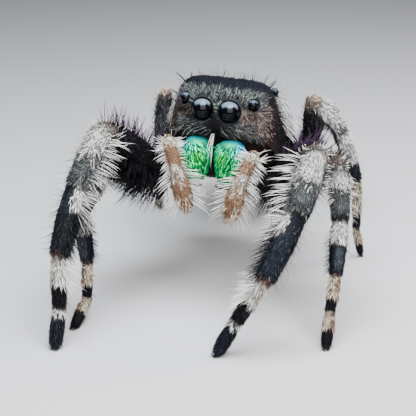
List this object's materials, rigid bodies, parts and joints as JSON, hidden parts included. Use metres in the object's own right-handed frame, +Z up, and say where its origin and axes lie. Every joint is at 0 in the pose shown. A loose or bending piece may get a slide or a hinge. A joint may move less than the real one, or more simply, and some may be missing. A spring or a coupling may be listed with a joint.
{
  "type": "regal jumping spider",
  "caption": "Life-size still model of a male regal jumping spider, head raised, front legs reaching, green jaws and white-fringed legs, for display",
  "frame": {"origin": "middle of the footprint on the floor, under the body", "axes": "the spider faces -Y, its left is +X, +Z is up"},
  "size_m": [0.0116, 0.0222, 0.009],
  "materials": {
    "face_fur": "short dark fur with a pale grey mask over the eyes",
    "eye_black": "wet black lens",
    "green_scale": "iridescent green scales, blue at the top outer edge",
    "grey_fur": "black and white fur",
    "black_cuticle": "black cuticle under black hair",
    "white_fur": "white hair with black bands",
    "palp_tan": "tan with cream patches and long white hair",
    "spinneret_brown": "dark brown"
  },
  "bodies": {
    "root": {"cephalothorax": "face_fur", "eye_front_middle_left": "eye_black", "eye_front_middle_right": "eye_black", "eye_front_side_left": "eye_black", "eye_front_side_right": "eye_black", "eye_back_small_left": "eye_black", "eye_back_small_right": "eye_black", "eye_back_side_left": "eye_black", "eye_back_side_right": "eye_black", "chelicera_left": "green_scale", "chelicera_right": "green_scale", "abdomen": "grey_fur", "spinnerets": "spinneret_brown", "palp_left_femur": "palp_tan", "palp_left_shin": "palp_tan", "palp_left_cymbium": "palp_tan", "palp_right_femur": "palp_tan", "palp_right_shin": "palp_tan", "palp_right_cymbium": "palp_tan", "leg_left_1_femur": "black_cuticle", "leg_left_1_shin": "grey_fur", "leg_left_1_foot": "white_fur", "leg_left_2_femur": "black_cuticle", "leg_left_2_shin": "grey_fur", "leg_left_2_foot": "white_fur", "leg_left_3_femur": "black_cuticle", "leg_left_3_shin": "grey_fur", "leg_left_3_foot": "white_fur", "leg_left_4_femur": "black_cuticle", "leg_left_4_shin": "grey_fur", "leg_left_4_foot": "white_fur", "leg_right_1_femur": "black_cuticle", "leg_right_1_shin": "grey_fur", "leg_right_1_foot": "white_fur", "leg_right_2_femur": "black_cuticle", "leg_right_2_shin": "grey_fur", "leg_right_2_foot": "white_fur", "leg_right_3_femur": "black_cuticle", "leg_right_3_shin": "grey_fur", "leg_right_3_foot": "white_fur", "leg_right_4_femur": "black_cuticle", "leg_right_4_shin": "grey_fur", "leg_right_4_foot": "white_fur"}
  },
  "joints": []
}
